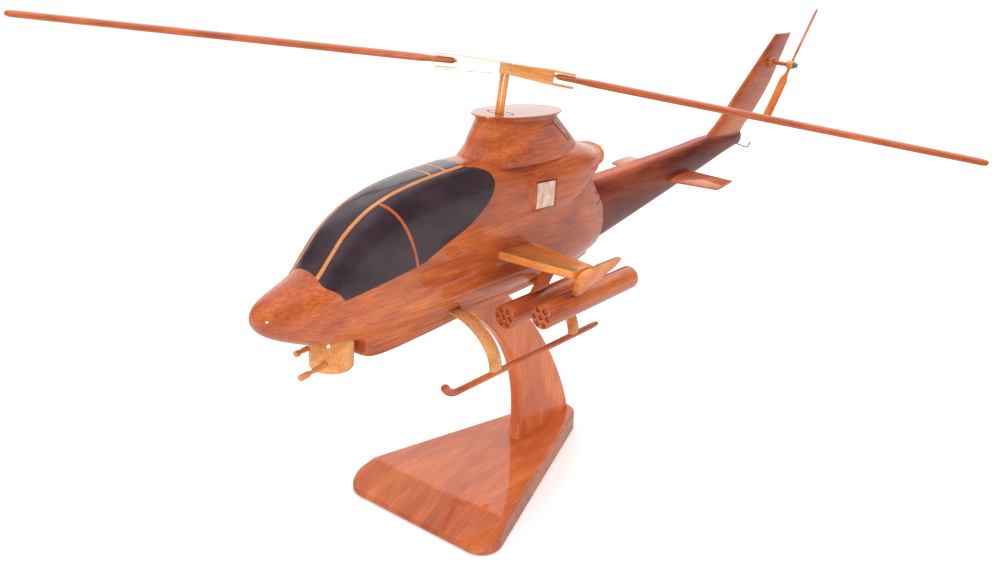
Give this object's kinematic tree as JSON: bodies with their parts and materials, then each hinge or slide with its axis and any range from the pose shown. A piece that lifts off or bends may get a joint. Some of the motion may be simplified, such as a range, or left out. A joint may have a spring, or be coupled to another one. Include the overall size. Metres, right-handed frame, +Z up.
{
  "type": "attack helicopter desk model on a stand",
  "caption": "Carved wooden desk model of a two-seat attack helicopter on a triangular stand, with rotors and a chin turret that turn.",
  "frame": {"origin": "On the underside of the base, straight below the point where the main rotor's mast meets the top of the pylon fairing.", "axes": "+Z up; -Y is where the nose points, +Y the tail; +X the helicopter's port side. The helicopter itself is pitched 4.6 degrees nose-up on its stand."},
  "size_m": [0.4469, 0.5692, 0.29],
  "materials": {
    "mahogany": "gloss lacquer",
    "dark_mahogany": "gloss lacquer",
    "light_wood": "gloss lacquer",
    "pale_wood": "satin lacquer",
    "smoked_black": "gloss, near-black",
    "steel": "plain"
  },
  "bodies": {
    "stand_and_airframe": {"base": "mahogany", "column": "mahogany", "column_foot_dowel": "light_wood", "column_head_dowel": "light_wood", "fuselage": "mahogany", "canopy_windshield_panel": "smoked_black", "canopy_roof_panel_middle": "smoked_black", "canopy_roof_panel_rear": "smoked_black", "canopy_cross_strip_front": "light_wood", "canopy_cross_strip_rear": "light_wood", "canopy_front_window_port": "smoked_black", "canopy_front_window_starboard": "smoked_black", "canopy_rear_window_port": "smoked_black", "canopy_rear_window_starboard": "smoked_black", "canopy_side_strip_port": "mahogany", "canopy_side_strip_starboard": "mahogany", "canopy_roof_strip_port": "light_wood", "canopy_roof_strip_starboard": "light_wood", "intake_insert_port": "pale_wood", "intake_insert_starboard": "pale_wood", "pylon_fairing": "mahogany", "pylon_cap": "mahogany", "tail_boom": "dark_mahogany", "tail_fin": "mahogany", "stabiliser_port": "mahogany", "stabiliser_starboard": "mahogany", "tail_skid_wire": "steel", "stub_wing_port": "mahogany", "stub_wing_starboard": "mahogany", "wing_end_plate_port": "mahogany", "wing_end_plate_starboard": "mahogany", "inner_pylon_port": "mahogany", "inner_pylon_starboard": "mahogany", "rocket_pod_outer_port": "mahogany", "rocket_pod_outer_starboard": "mahogany", "rocket_pod_inner_port": "mahogany", "rocket_pod_inner_starboard": "mahogany", "skid_port": "mahogany", "skid_starboard": "mahogany", "skid_leg_port_front": "light_wood", "skid_leg_port_rear": "light_wood", "skid_leg_starboard_front": "light_wood", "skid_leg_starboard_rear": "light_wood", "tail_rotor_boss": "mahogany"},
    "main_rotor": {"rotor_mast": "light_wood", "rotor_trunnion": "light_wood", "rotor_yoke_port": "light_wood", "rotor_yoke_starboard": "light_wood", "main_blade_port": "mahogany", "main_blade_starboard": "mahogany"},
    "tail_rotor": {"tail_rotor_shaft": "mahogany", "tail_rotor_hub": "mahogany", "tail_rotor_nut": "steel", "tail_blade_upper": "mahogany", "tail_blade_lower": "mahogany"},
    "gun_turret": {"chin_turret": "light_wood", "gun_barrel_port": "light_wood", "gun_barrel_starboard": "light_wood"}
  },
  "joints": [
    {"name": "main_rotor_spin", "type": "hinge", "parent": "stand_and_airframe", "child": "main_rotor", "pos_m": [0, 0, 0.2365], "axis": [0.0469, 0.1632, 0.9855], "continuous": true},
    {"name": "tail_rotor_spin", "type": "hinge", "parent": "stand_and_airframe", "child": "tail_rotor", "pos_m": [0.0176, 0.3466, 0.21383], "axis": [1, 0, 0], "continuous": true},
    {"name": "turret_swivel", "type": "hinge", "parent": "stand_and_airframe", "child": "gun_turret", "pos_m": [0, -0.13575, 0.1491], "axis": [0, 0.0802, 0.9968], "range_deg": [-90, 90]}
  ]
}
